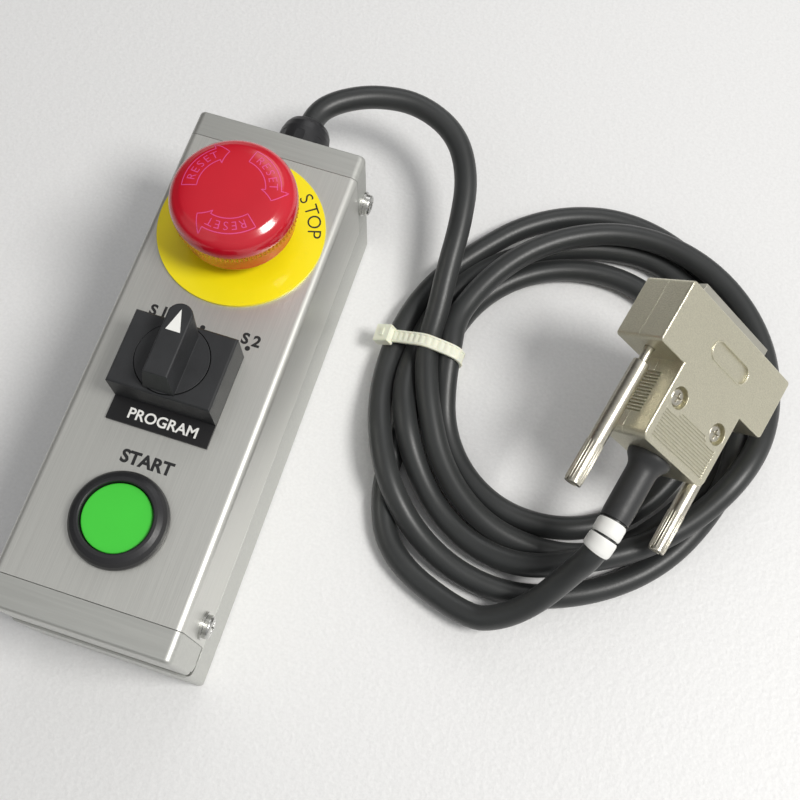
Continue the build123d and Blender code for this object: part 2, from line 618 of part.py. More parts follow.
def hood_cavities():
    half_body = HOOD_BODY_WIDTH / 2
    chamber = slab(-half_body + HOOD_WALL, half_body - HOOD_WALL, BACK_Y + 3.0, LEDGE_Y + 10,
                   -HOOD_THICK / 2 + HOOD_WALL, HOOD_THICK / 2 - HOOD_WALL)
    chamber = fillet(chamber.edges().filter_by(Axis.Y).group_by(Axis.Z)[0], 4.0)
    mouth = slab(-DSUB_FLANGE[0] / 2 - 0.2, DSUB_FLANGE[0] / 2 + 0.2, FRONT_Y - 1.4, FRONT_Y + 1,
                 -DSUB_FLANGE[1] / 2 - 0.2, DSUB_FLANGE[1] / 2 + 0.2)
    throat = slab(-DSUB_SHELL[0] / 2 - 1, DSUB_SHELL[0] / 2 + 1, LEDGE_Y + 8, FRONT_Y,
                  -6.2, 6.2)
    cable_way = along_y(CABLE_R + 0.1, BACK_Y - 1, BACK_Y + 8, 0, 0)
    boot_seat = along_y(6.4, BACK_Y - 1, BACK_Y + 1.6, 0, 0)
    cavities = chamber + mouth + throat + cable_way + boot_seat
    for side in (-1, 1):
        cavities += along_y(JACK_NECK_R + 0.2, LEDGE_Y - 1, FRONT_Y + 1, side * JACK_X, 0)
        cavities += along_y(3.3, LEDGE_Y + 5.0, LEDGE_Y + 14.0, side * JACK_X, 0)
    return cavities


HOOD_SCREW_AT = [(-11.3, -7.2), (11.3, -7.2)]
SCREW_RECESS_R = 3.75


def hood_half(upper):
    keep = slab(-40, 40, -40, 40, PARTING, 20) if upper else slab(-40, 40, -40, 40, -20, -PARTING)
    shell = (hood_blank() - hood_cavities()) & keep
    for x, y in HOOD_SCREW_AT:
        if upper:
            shell += cyl(4.6, PARTING, HOOD_THICK / 2 - 1, x, y)
            shell -= cyl(SCREW_RECESS_R, HOOD_THICK / 2 - 2.6, HOOD_THICK, x, y)
            shell -= cyl(1.5, 0, HOOD_THICK, x, y)
        else:
            shell += cyl(3.4, -HOOD_THICK / 2 + 1.5, -PARTING, x, y)
            shell -= cyl(1.35, -HOOD_THICK / 2 + 3.0, 0, x, y)
    if upper:
        # shallow oblong panel on the flange and grip ribs over the cable body
        oblong = extrude(SlotOverall(20.0, 6.6), 1.0)
        shell -= Pos(0.8, LEDGE_Y + 11.5, HOOD_THICK / 2 - 0.6) * oblong
        islands = [cyl(5.6, 0, 20, x, y) for x, y in HOOD_SCREW_AT]
        for k in range(12):
            rib = Pos(0, BACK_Y + 2.6 + 1.05 * k, HOOD_THICK / 2) * Box(28.6, 0.5, 0.6)
            shell -= rib - islands
    return shell


def hood_screws():
    screws = []
    for x, y in HOOD_SCREW_AT:
        screw = pan_head_screw(1.3, 13.0, 3.0, 1.7)
        screws.append(Pos(x, y, HOOD_THICK / 2 - 2.6) * screw)
    return screws


def dsub_outline(width, height, lean=0.7):
    return make_face(Polyline((-width / 2, height / 2), (width / 2, height / 2),
                              (width / 2 - lean, -height / 2), (-width / 2 + lean, -height / 2),
                              close=True))


def along_mating(face, y0, y1):
    """Extrude an XZ outline from y0 to y1."""
    return Pos(0, y0, 0) * (Rot(90, 0, 0) * extrude(face, -(y1 - y0)))


def dsub_shell():
    flange = slab(-DSUB_FLANGE[0] / 2, DSUB_FLANGE[0] / 2, FRONT_Y - 1.2, FRONT_Y - 0.2,
                  -DSUB_FLANGE[1] / 2, DSUB_FLANGE[1] / 2)
    skirt = along_mating(dsub_outline(DSUB_SHELL[0], DSUB_SHELL[1]), FRONT_Y - 0.4, FRONT_Y + 5.6)
    inner = along_mating(dsub_outline(DSUB_SHELL[0] - 1.0, DSUB_SHELL[1] - 1.0), FRONT_Y - 3,
                         FRONT_Y + 7)
    shell = flange + skirt - inner
    for side in (-1, 1):
        shell -= along_y(JACK_NECK_R + 0.2, FRONT_Y - 3, FRONT_Y + 2, side * JACK_X, 0)
    return shell


def dsub_pins():
    """Two rows, 13 over 12, at the standard 2.77 mm pitch."""
    pins = []
    for row, count in ((1, 13), (-1, 12)):
        for k in range(count):
            x = (k - (count - 1) / 2) * 2.77
            pins.append(along_y(0.5, FRONT_Y - 0.6, FRONT_Y + 5.2, x, row * 1.42))
    return pins


def dsub_insulator():
    block = along_mating(dsub_outline(DSUB_SHELL[0] - 1.1, DSUB_SHELL[1] - 1.1), FRONT_Y - 7.0,
                         FRONT_Y - 0.6)
    return block


def jackscrew(side):
    """Long knob, neck, retained collar and threaded tip in one turned piece."""
    x = side * JACK_X
    knob_front = LEDGE_Y - 5.5
    knob = along_y(JACK_KNOB_R, knob_front - JACK_KNOB_LENGTH, knob_front, x, 0)
    knob = fillet(knob.edges().filter_by(GeomType.CIRCLE), 0.35)
    knob -= Pos(x, knob_front - JACK_KNOB_LENGTH, 0) * Box(7, 3.0, 1.1)
    neck = along_y(JACK_NECK_R, knob_front - 0.1, FRONT_Y + 0.5, x, 0)
    tip = along_y(JACK_TIP_R, FRONT_Y + 0.4, FRONT_Y + JACK_TIP_OUT, x, 0)
    collar = along_y(2.9, LEDGE_Y + 6.0, LEDGE_Y + 7.2, x, 0)
    return knob + neck + tip + collar


def jack_washer(side):
    """Retaining washer that slides in the hood's pocket and carries the screw's collar."""
    x = side * JACK_X
    return (along_y(3.0, LEDGE_Y + 7.25, LEDGE_Y + 8.2, x, 0)
            - along_y(JACK_NECK_R + RUNNING, LEDGE_Y, FRONT_Y, x, 0))


def hood_boot():
    """Flexible sleeve on the cable where it leaves the hood."""
    profile = [
        (CABLE_R + 0.02, -1.4), (6.2, -1.4), (6.2, 1.0), (5.7, 2.0), (5.3, BOOT_LENGTH - 1.0),
        (5.0, BOOT_LENGTH), (CABLE_R + 0.02, BOOT_LENGTH),
    ]
    turned = revolve(make_face(Polyline(*[(r, 0, z) for r, z in profile], close=True)), Axis.Z)
    return Pos(0, BACK_Y, 0) * (Rot(90, 0, 0) * turned)


def cable_clamp():
    """Two-piece clamp that grips the cable inside the hood."""
    saddle = slab(-6.5, 6.5, BACK_Y + 8.6, BACK_Y + 13.0, -5.6, 5.6)
    saddle -= [cyl(0.85, 2.0, 6.0, side * 5.4, BACK_Y + 10.8) for side in (-1, 1)]
    return saddle - along_y(CABLE_R, BACK_Y, BACK_Y + 20, 0, 0)


def clamp_screws():
    screws = []
    for side in (-1, 1):
        screw = pan_head_screw(0.8, 3.0, 1.1, 0.8)
        screws.append(Pos(side * 5.4, BACK_Y + 10.8, 5.6) * screw)
    return screws


parts["cable_end"] = placed(along_y(CABLE_R, HOOD_CABLE_END, BACK_Y + 15, 0, 0))
parts["hood_upper_shell"] = placed(hood_half(True))
parts["hood_lower_shell"] = placed(hood_half(False))
parts["hood_screws"] = placed(hood_screws())
parts["hood_boot"] = placed(hood_boot())
parts["hood_cable_clamp"] = placed(cable_clamp())
parts["hood_clamp_screws"] = placed(clamp_screws())
parts["connector_shell"] = placed(dsub_shell())
parts["connector_insulator"] = placed(dsub_insulator())
parts["connector_pins"] = placed(dsub_pins())
parts["jackscrew_left"] = placed(jackscrew(-1))
parts["jackscrew_right"] = placed(jackscrew(1))
parts["jack_washer_left"] = placed(jack_washer(-1))
parts["jack_washer_right"] = placed(jack_washer(1))


def export_all():
    os.makedirs("parts", exist_ok=True)
    for name, shape in parts.items():
        if isinstance(shape, list):
            solids = [solid for item in shape for solid in item.solids()]
            shape = Compound(children=solids)
        export_step(shape, f"parts/{name}.step")
    print(len(parts), "nodes written")


export_all()
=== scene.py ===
import json
import math
import bmesh
import bpy
from mathutils import Matrix, Vector


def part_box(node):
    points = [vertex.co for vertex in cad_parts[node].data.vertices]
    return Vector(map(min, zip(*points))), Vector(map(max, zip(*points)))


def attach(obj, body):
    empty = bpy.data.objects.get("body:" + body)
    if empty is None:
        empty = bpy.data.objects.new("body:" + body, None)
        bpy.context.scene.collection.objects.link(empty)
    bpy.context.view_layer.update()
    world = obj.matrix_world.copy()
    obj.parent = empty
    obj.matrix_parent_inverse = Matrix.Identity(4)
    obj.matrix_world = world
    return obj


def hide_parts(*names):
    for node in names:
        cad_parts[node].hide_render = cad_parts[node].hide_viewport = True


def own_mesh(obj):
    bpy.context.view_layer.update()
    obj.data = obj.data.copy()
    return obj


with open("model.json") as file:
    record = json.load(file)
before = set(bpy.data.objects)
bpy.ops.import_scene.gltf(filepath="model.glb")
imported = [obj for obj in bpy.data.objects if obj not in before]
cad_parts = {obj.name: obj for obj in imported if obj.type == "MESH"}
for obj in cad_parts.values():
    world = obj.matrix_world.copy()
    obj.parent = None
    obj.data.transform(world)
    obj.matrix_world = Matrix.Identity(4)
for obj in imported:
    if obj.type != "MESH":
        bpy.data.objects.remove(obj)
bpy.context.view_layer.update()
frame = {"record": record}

# Pendant control station. Metres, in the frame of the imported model: +Z up, +Y to the gland.
MM = 0.001
record = frame["record"]
mounts = {mount["name"]: mount for mount in record["mounts"]}


def mm(x, y, z):
    return Vector((x * MM, y * MM, z * MM))


# ---- places taken from the frame ---------------------------------------------------------------
PANEL_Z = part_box("top_cover")[1][2]
ESTOP_Y = sum(v[1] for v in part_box("estop_legend_ring")) / 2
RING_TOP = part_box("estop_legend_ring")[1][2]
PLATE_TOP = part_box("selector_plate")[1][2]
HOOD_LENGTH = 49.8 * MM
HOOD_FLANGE_DEPTH = 22.5 * MM
face_point = Vector(mounts["connector_face"]["pos_m"])
mate_dir = Vector(mounts["connector_face"]["axis"]).normalized()
jack_left = Vector(mounts["jack_tip_left"]["pos_m"])
jack_right = Vector(mounts["jack_tip_right"]["pos_m"])
flange_dir = (jack_right - jack_left).normalized()
hood_up = flange_dir.cross(mate_dir).normalized()
hood_back = face_point - mate_dir * HOOD_LENGTH


# ---- camera, lights and floor ------------------------------------------------------------------
CAMERA_SENSOR, CAMERA_LENS = 36.0, 48.05             # mm
CAMERA_PLACE = (97.31, -100.72, 373.34)              # mm
CAMERA_RIGHT = (0.95241, 0.30438, 0.01619)
CAMERA_UP = (-0.29143, 0.89378, 0.34091)
CAMERA_BACK = (0.08929, -0.32941, 0.93996)

LIT_POINT = (0.08, 0.0, 0.03)
# Soft round lamps: (name, place, diameter, power in watts, colour), in metres.
LAMPS = [
    ("key", (0.78, -0.02, 1.12), 0.42, 12.0, (1.0, 0.985, 0.955)),
    ("fill", (-0.75, -0.55, 1.0), 1.2, 1.0, (0.97, 0.985, 1.0)),
    ("rear", (0.1, 1.1, 0.8), 0.8, 2.2, (1.0, 1.0, 1.0)),
]
ROOM_STRENGTH = 0.50
# The room is bright overhead and to the right, and darker low down and to the left.
ROOM_SLOPE = (0.55, -0.10, 0.80)
ROOM_DARK, ROOM_BRIGHT = (0.16, 0.155, 0.15, 1.0), (1.0, 1.0, 1.0, 1.0)
ROOM_BRIGHT_FROM = 0.75
FLOOR_HALF = 3.0


def make_camera():
    data = bpy.data.cameras.new("camera")
    data.sensor_width = CAMERA_SENSOR
    data.lens = CAMERA_LENS
    data.clip_start = 0.01
    camera = bpy.data.objects.new("camera", data)
    bpy.context.scene.collection.objects.link(camera)
    turn = Matrix((CAMERA_RIGHT, CAMERA_UP, CAMERA_BACK)).transposed().to_4x4()
    camera.matrix_world = Matrix.Translation(mm(*CAMERA_PLACE)) @ turn
    bpy.context.scene.camera = camera


def make_lamp(name, place, diameter, power, colour):
    data = bpy.data.lights.new(name, "AREA")
    data.shape = "DISK"
    data.size = diameter
    data.energy = power
    data.color = colour
    light = bpy.data.objects.new(name, data)
    bpy.context.scene.collection.objects.link(light)
    light.location = place
    aim = Vector(LIT_POINT) - Vector(place)
    light.rotation_euler = aim.to_track_quat("-Z", "Y").to_euler()


def make_lights():
    for lamp in LAMPS:
        make_lamp(*lamp)
    world = bpy.data.worlds.new("studio")
    world.use_nodes = True
    nodes, links = world.node_tree.nodes, world.node_tree.links
    nodes["Background"].inputs["Strength"].default_value = ROOM_STRENGTH
    direction = nodes.new("ShaderNodeTexCoord")
    slope = nodes.new("ShaderNodeVectorMath")
    slope.operation = "DOT_PRODUCT"
    slope.inputs[1].default_value = ROOM_SLOPE
    links.new(direction.outputs["Generated"], slope.inputs[0])
    ramp = nodes.new("ShaderNodeValToRGB")
    dark, bright = ramp.color_ramp.elements
    dark.position, dark.color = 0.0, ROOM_DARK
    bright.position, bright.color = ROOM_BRIGHT_FROM, ROOM_BRIGHT
    links.new(slope.outputs["Value"], ramp.inputs["Fac"])
    links.new(ramp.outputs["Color"], nodes["Background"].inputs["Color"])
    bpy.context.scene.world = world
    bpy.context.scene.view_settings.view_transform = "Standard"


# ---- materials ---------------------------------------------------------------------------------
SCATTER_REACH = (0.004, 0.003, 0.002)
COAT_ROUGHNESS = 0.12
BUMP_REACH = 0.2 * MM
DRIFT_FROM, DRIFT_TO = 0.35, 0.65                    # part of the noise that the colours span


def surface(name, colour, roughness, metallic=0.0, tint=0.06, tint_scale=60.0, grain=0.05,
            grain_scale=1500.0, stretch=(1.0, 1.0, 1.0), rough_spread=0.08, rounding=0.0,
            coat=0.0, sheen=0.0, subsurface=0.0, second=None, dots=0.0):
    """A procedural surface: colour that drifts, roughness that varies and a fine grain.

    stretch draws the grain out along an axis, rounding softens sharp CAD edges in the shading,
    second is the colour the drift goes to, and dots adds a coarse pebble to the grain.
    """
    mat = bpy.data.materials.new(name)
    mat.use_nodes = True
    nodes, links = mat.node_tree.nodes, mat.node_tree.links
    shader = nodes["Principled BSDF"]
    shader.inputs["Metallic"].default_value = metallic
    shader.inputs["Coat Weight"].default_value = coat
    shader.inputs["Coat Roughness"].default_value = COAT_ROUGHNESS
    shader.inputs["Sheen Weight"].default_value = sheen
    shader.inputs["Subsurface Weight"].default_value = subsurface
    shader.inputs["Subsurface Radius"].default_value = SCATTER_REACH
    where = nodes.new("ShaderNodeTexCoord")
    drawn = nodes.new("ShaderNodeMapping")
    drawn.inputs["Scale"].default_value = stretch
    links.new(where.outputs["Object"], drawn.inputs["Vector"])
    drift = nodes.new("ShaderNodeTexNoise")
    drift.inputs["Scale"].default_value = tint_scale
    drift.inputs["Detail"].default_value = 6.0
    links.new(drawn.outputs["Vector"], drift.inputs["Vector"])
    ramp = nodes.new("ShaderNodeValToRGB")
    low = second or tuple(c * (1.0 - tint) for c in colour)
    high = colour if second else tuple(min(1.0, c * (1.0 + tint)) for c in colour)
    for stop, position, shade in zip(ramp.color_ramp.elements, (DRIFT_FROM, DRIFT_TO), (low, high)):
        stop.position = position
        stop.color = (*shade, 1.0)
    links.new(drift.outputs["Fac"], ramp.inputs["Fac"])
    links.new(ramp.outputs["Color"], shader.inputs["Base Color"])
    fine = nodes.new("ShaderNodeTexNoise")
    fine.inputs["Scale"].default_value = grain_scale
    fine.inputs["Detail"].default_value = 3.0
    links.new(drawn.outputs["Vector"], fine.inputs["Vector"])
    rough = nodes.new("ShaderNodeMapRange")
    rough.inputs["To Min"].default_value = max(0.02, roughness - rough_spread)
    rough.inputs["To Max"].default_value = min(1.0, roughness + rough_spread)
    links.new(fine.outputs["Fac"], rough.inputs["Value"])
    links.new(rough.outputs["Result"], shader.inputs["Roughness"])
    height = fine.outputs["Fac"]
    if dots:
        pebble = nodes.new("ShaderNodeTexVoronoi")
        pebble.inputs["Scale"].default_value = grain_scale * 0.5
        links.new(drawn.outputs["Vector"], pebble.inputs["Vector"])
        both = nodes.new("ShaderNodeMath")
        both.operation = "MULTIPLY_ADD"
        both.inputs[1].default_value = dots
        links.new(pebble.outputs["Distance"], both.inputs[0])
        links.new(fine.outputs["Fac"], both.inputs[2])
        height = both.outputs["Value"]
    bump = nodes.new("ShaderNodeBump")
    bump.inputs["Strength"].default_value = grain
    bump.inputs["Distance"].default_value = BUMP_REACH
    links.new(height, bump.inputs["Height"])
    if rounding:
        soft_edge = nodes.new("ShaderNodeBevel")
        soft_edge.samples = 6
        soft_edge.inputs["Radius"].default_value = rounding
        links.new(soft_edge.outputs["Normal"], bump.inputs["Normal"])
    links.new(bump.outputs["Normal"], shader.inputs["Normal"])
    return mat


MATERIALS = {
    "floor": surface("pale_sheet", (0.80, 0.80, 0.80), 0.50, tint=0.025, tint_scale=900, grain=0.55,
                     grain_scale=800, dots=0.8),
    "cover": surface("brushed_cover", (0.66, 0.66, 0.625), 0.42, metallic=0.80, tint=0.035,
                     tint_scale=2200, grain=0.16, grain_scale=5200, stretch=(1.0, 0.010, 1.0),
                     rough_spread=0.06, rounding=0.0003),
    "cap": surface("satin_aluminium", (0.56, 0.565, 0.535), 0.44, metallic=0.80, tint=0.04,
                   tint_scale=900, grain=0.15, grain_scale=3000, stretch=(0.03, 1.0, 1.0),
                   rounding=0.0003),
    "steel": surface("screw_steel", (0.62, 0.62, 0.60), 0.26, metallic=1.0, tint=0.08,
                     grain=0.10, rounding=0.0002),
    "bright": surface("turned_steel", (0.65, 0.62, 0.53), 0.30, metallic=1.0, tint=0.07,
                      tint_scale=400, grain=0.08, rounding=0.0002),
    "yellow": surface("legend_yellow", (0.98, 0.84, 0.006), 0.34, tint=0.02, grain=0.03,
                      grain_scale=900, coat=0.2, rounding=0.0002),
    "red": surface("mushroom_red", (0.58, 0.005, 0.020), 0.20, tint=0.05, tint_scale=30,
                   grain=0.02, grain_scale=500, coat=0.6, rough_spread=0.04),
    "print_pink": surface("reset_print", (0.72, 0.07, 0.26), 0.40, tint=0.04, grain=0.02),
    "black": surface("matte_black", (0.022, 0.023, 0.025), 0.52, tint=0.15, tint_scale=120,
                     grain=0.20, grain_scale=2400, rounding=0.0003),
    "black_satin": surface("satin_black", (0.018, 0.018, 0.020), 0.38, tint=0.12, tint_scale=80,
                           grain=0.10, grain_scale=1800, rounding=0.0003),
    "plate": surface("legend_plate", (0.006, 0.006, 0.007), 0.50, tint=0.15, tint_scale=90,
                     grain=0.08, grain_scale=1800, rounding=0.0002),
    "green": surface("button_green", (0.055, 0.62, 0.045), 0.40, tint=0.03, tint_scale=40,
                     grain=0.05, grain_scale=1200, coat=0.15, rounding=0.0002),
    "white": surface("white_print", (0.86, 0.86, 0.83), 0.55, tint=0.02, grain=0.02),
    "nylon": surface("tie_nylon", (0.83, 0.84, 0.70), 0.38, tint=0.04, grain=0.05,
                     subsurface=0.25),
    "ink": surface("legend_ink", (0.015, 0.015, 0.016), 0.50, tint=0.10, grain=0.03),
    "block": surface("block_moulding", (0.085, 0.09, 0.095), 0.55, tint=0.08, grain=0.12,
                     rounding=0.0003),
    "rubber": surface("gasket_rubber", (0.018, 0.018, 0.019), 0.62, tint=0.12, grain=0.15),
    "cable": surface("cable_sheath", (0.026, 0.028, 0.028), 0.40, tint=0.12, tint_scale=45,
                     grain=0.12, grain_scale=1600, rough_spread=0.07, sheen=0.08),
    "boot": surface("boot_rubber", (0.030, 0.031, 0.032), 0.48, tint=0.12, grain=0.15),
    "wire": surface("core_insulation", (0.42, 0.05, 0.04), 0.45, tint_scale=35,
                    second=(0.03, 0.06, 0.35), grain=0.04),
    "hood": surface("pearl_nickel", (0.70, 0.67, 0.53), 0.33, metallic=0.90, tint=0.07,
                    tint_scale=2200, grain=0.42, grain_scale=3000, dots=0.6, rounding=0.0004),
    "nickel": surface("plated_shell", (0.60, 0.585, 0.51), 0.36, metallic=0.90, tint=0.06,
                      grain=0.08, rounding=0.0002),
    "gold": surface("pin_gold", (0.80, 0.58, 0.22), 0.25, metallic=1.0, tint=0.05, grain=0.04),
}

NODE_FINISH = {
    "top_cover": "cover", "base_tray": "cap", "end_cap_near": "cap", "end_cap_far": "cap",
    "side_screws": "steel", "side_washers": "steel", "estop_legend_ring": "yellow",
    "estop_gasket": "rubber", "estop_body": "black", "estop_stem": "black",
    "estop_locknut": "black", "estop_contact_block": "block",
    "selector_plate": "plate", "selector_base": "black", "selector_knob": "black",
    "selector_pointer": "white", "selector_circlip": "steel", "selector_locknut": "black",
    "selector_contact_block": "block", "start_gasket": "rubber", "start_bezel": "black_satin",
    "start_button": "green", "start_stem": "black", "start_locknut": "black",
    "start_contact_block": "block", "terminal_screws": "steel",
    "gland_body": "black_satin", "gland_nut": "black_satin", "gland_seal": "rubber",
    "gland_locknut": "black_satin", "cable_entry": "cable", "core_wires": "wire",
    "hood_upper_shell": "hood", "hood_lower_shell": "hood", "hood_screws": "bright",
    "hood_cable_clamp": "nickel", "hood_clamp_screws": "steel", "connector_shell": "nickel",
    "connector_insulator": "black", "connector_pins": "gold", "jackscrew_left": "bright",
    "jackscrew_right": "bright", "jack_washer_left": "nickel", "jack_washer_right": "nickel",
}


def paint(obj, finish):
    obj.data.materials.clear()
    obj.data.materials.append(MATERIALS[finish])


def finish_cad_nodes():
    for node, finish in NODE_FINISH.items():
        obj = bpy.data.objects[node]
        if not obj.material_slots:
            obj.data.materials.append(MATERIALS[finish])
        for slot in obj.material_slots:
            slot.material = MATERIALS[finish]


# ---- mesh helpers ------------------------------------------------------------------------------
def new_piece(name, build, finish, body, smooth_angle=35.0):
    """Make one mesh piece from a bmesh that build() fills in, then paint it and let it ride."""
    mesh = bpy.data.meshes.new(name)
    bm = bmesh.new()
    build(bm)
    bmesh.ops.recalc_face_normals(bm, faces=bm.faces)
    bm.to_mesh(mesh)
    bm.free()
    obj = bpy.data.objects.new(name, mesh)
    bpy.context.scene.collection.objects.link(obj)
    mesh.polygons.foreach_set("use_smooth", [True] * len(mesh.polygons))
    mesh.set_sharp_from_angle(angle=math.radians(smooth_angle))
    paint(obj, finish)
    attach(obj, body)
    return obj


def bridge_rings(bm, rings, closed=False):
    """Quads between rings of vertices that all have the same count."""
    count = len(rings[0])
    pairs = list(zip(rings, rings[1:]))
    if closed:
        pairs.append((rings[-1], rings[0]))
    for a, b in pairs:
        for k in range(count):
            bm.faces.new((a[k], a[(k + 1) % count], b[(k + 1) % count], b[k]))


def frames_along(points):
    """Each point of a line with its two side vectors, which don't twist along it."""
    side = None
    result = []
    for i, point in enumerate(points):
        ahead = points[min(i + 1, len(points) - 1)] - points[max(i - 1, 0)]
        tangent = ahead.normalized()
        if side is None:
            side = tangent.orthogonal().normalized()
        side = (side - tangent * side.dot(tangent)).normalized()
        result.append((point, side, tangent.cross(side)))
    return result


def sweep_into(bm, points, radii, segments=36):
    """A closed round bar along points, with a radius for each of them."""
    rings = []
    for (point, side, other), radius in zip(frames_along(points), radii):
        ring = []
        for k in range(segments):
            turn = 2 * math.pi * k / segments
            out = side * math.cos(turn) + other * math.sin(turn)
            ring.append(bm.verts.new(point + out * radius))
        rings.append(ring)
    bridge_rings(bm, rings)
    bm.faces.new(rings[0])
    bm.faces.new(rings[-1])


# ---- the cable ---------------------------------------------------------------------------------
CABLE_DIAMETER = 8.5 * MM
COIL_CENTRE = (121.5, 49.5)
STEP_DEG = 15
TURN_START, TURN_END, LAST_END = 180, 540, 255       # degrees; the last turn is left early

LEAD = [
    (1.5, 108.2, 38.0), (1.5, 114.5, 38.0), (8.0, 122.5, 37.8), (20.0, 130.0, 36.4),
    (36.0, 133.5, 34.0), (52.5, 127.5, 31.0), (61.5, 113.0, 27.6), (64.3, 95.0, 24.0),
    (64.8, 77.0, 19.4), (66.0, 62.0, 15.0),
]

# Each turn: (angle in degrees about the coil's centre, distance from it, height), in mm.
TURNS = [
    [(180, 55.0, 13.4), (200, 52.6, 14.2), (215, 53.0, 12.0), (232, 56.0, 9.5), (255, 59.0, 7.3),
     (282, 59.5, 4.6), (300, 59.0, 4.4), (315, 57.0, 4.4), (328, 56.0, 4.4), (350, 60.0, 4.4),
     (368, 64.0, 4.4), (390, 69.0, 4.4), (410, 72.5, 4.4), (435, 76.0, 4.4), (454, 77.0, 4.4),
     (475, 72.6, 4.4), (497, 67.0, 4.4), (520, 67.0, 4.4)],
    [(180, 67.5, 5.6), (200, 69.8, 6.5), (209, 71.4, 11.0), (216, 73.0, 13.0), (226, 75.4, 12.4),
     (236, 76.8, 7.0), (248, 78.0, 4.4), (265, 78.2, 4.4), (285, 73.1, 4.4), (301, 69.8, 4.4),
     (314, 67.5, 4.4), (325, 65.0, 4.6), (338, 63.5, 10.4), (348, 62.0, 12.9), (358, 60.5, 12.9),
     (370, 59.0, 10.0), (382, 59.0, 6.0), (395, 60.0, 4.4), (412, 64.0, 4.4), (431, 66.6, 4.4),
     (443, 65.1, 4.4), (457, 61.2, 4.4), (480, 59.5, 4.4), (520, 59.0, 4.6)],
    [(180, 59.0, 5.6), (190, 60.3, 7.0), (199, 61.6, 11.5), (208, 62.2, 13.2), (220, 62.8, 9.5),
     (232, 64.4, 5.0), (245, 66.4, 4.6), (258, 67.5, 5.4), (270, 67.0, 8.0), (285, 63.0, 12.0),
     (305, 61.0, 12.4), (322, 61.5, 12.6), (338, 63.0, 18.0), (348, 65.0, 20.0),
     (358, 66.8, 18.6), (368, 68.7, 15.5), (382, 70.8, 12.8), (396, 73.0, 12.6),
     (410, 72.3, 12.6), (424, 71.6, 12.6), (439, 69.0, 12.6), (451, 66.0, 12.6),
     (463, 62.0, 12.6), (476, 58.4, 12.6), (491, 54.4, 12.6), (509, 51.3, 12.4),
     (525, 50.0, 12.4)],
    [(180, 46.5, 13.2), (190, 45.9, 12.0), (200, 46.6, 8.6), (215, 48.2, 4.8), (236, 49.9, 4.4),
     (250, 51.0, 4.4), (280, 50.2, 4.4), (300, 48.6, 4.4), (326, 46.5, 4.4), (355, 46.5, 4.4),
     (380, 48.0, 4.4), (410, 51.0, 4.4), (440, 52.6, 4.4), (461, 51.8, 4.4), (492, 51.0, 4.4),
     (525, 50.0, 4.4)],
    [(180, 50.3, 5.6), (190, 51.0, 4.8), (200, 56.0, 4.4), (211, 64.0, 4.4), (219, 72.0, 4.4),
     (227, 80.0, 4.4), (234, 85.8, 4.4), (243, 91.2, 4.4), (255, 93.5, 4.6)],
]
TAIL = [(108.0, -40.5, 6.5), (119.0, -37.5, 11.0), (128.5, -30.0, 18.0), (135.5, -20.0, 27.0)]
# The last three points lie on the hood's axis, this far behind the end of its shells.
TAIL_BEHIND_HOOD = (36.0 * MM, 16.0 * MM, -2.0 * MM)


def between(keys, angle):
    """Distance and height at an angle, between the two nearest keys."""
    (a0, r0, z0), (a1, r1, z1) = next(
        pair for pair in zip(keys, keys[1:]) if angle <= pair[1][0])
    share = (angle - a0) / (a1 - a0)
    return r0 + (r1 - r0) * share, z0 + (z1 - z0) * share


def coil_points():
    """Control points of the turns, set outward a little because the line runs inside them."""
    outset = 1.0 / math.cos(math.radians(STEP_DEG / 2))
    points = []
    for keys, following in zip(TURNS, TURNS[1:] + [None]):
        end, run = LAST_END, keys
        if following:
            end, run = TURN_END, keys + [(TURN_END, *following[0][1:])]
        for angle in range(TURN_START, end, STEP_DEG):
            reach, height = between(run, angle)
            turn = math.radians(angle)
            points.append(mm(COIL_CENTRE[0] + reach * outset * math.cos(turn),
                             COIL_CENTRE[1] + reach * outset * math.sin(turn), height))
    return points


def make_cable():
    points = [mm(*p) for p in LEAD] + coil_points() + [mm(*p) for p in TAIL]
    points += [hood_back - mate_dir * behind for behind in TAIL_BEHIND_HOOD]
    curve = bpy.data.curves.new("cable", "CURVE")
    curve.dimensions = "3D"
    spline = curve.splines.new("NURBS")
    spline.points.add(len(points) - 1)
    for control, point in zip(spline.points, points):
        control.co = (*point, 1.0)
    spline.order_u = 3
    spline.use_endpoint_u = True
    spline.resolution_u = 8
    curve.bevel_depth = CABLE_DIAMETER / 2
    curve.bevel_resolution = 8
    curve.use_fill_caps = True
    cable = bpy.data.objects.new("cable", curve)
    bpy.context.scene.collection.objects.link(cable)
    cable.data.materials.append(MATERIALS["cable"])
    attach(cable, "station")
    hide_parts("cable_lead", "cable_coil", "cable_tail", "cable_end")
    return cable


def centreline(cable):
    """The points of the cable's own NURBS line, from the gland to the hood."""
    bare = cable.copy()
    bare.data = cable.data.copy()
    bare.data.bevel_depth = 0.0
    mesh = bpy.data.meshes.new_from_object(bare)
    points = [v.co.copy() for v in mesh.vertices]
    bpy.data.meshes.remove(mesh)
    spare = bare.data
    bpy.data.objects.remove(bare)
    bpy.data.curves.remove(spare)
    return points


def stretch_of(line, start, end, count):
    """Points on the line from start to end, both measured back from the hood."""
    back = line[::-1]
    reach = [0.0]
    for a, b in zip(back, back[1:]):
        reach.append(reach[-1] + (b - a).length)
    points = []
    for k in range(count):
        want = start + (end - start) * k / (count - 1)
        i = max(j for j in range(len(reach) - 1) if reach[j] <= want)
        share = (want - reach[i]) / (reach[i + 1] - reach[i])
        points.append(back[i].lerp(back[i + 1], share))
    return points


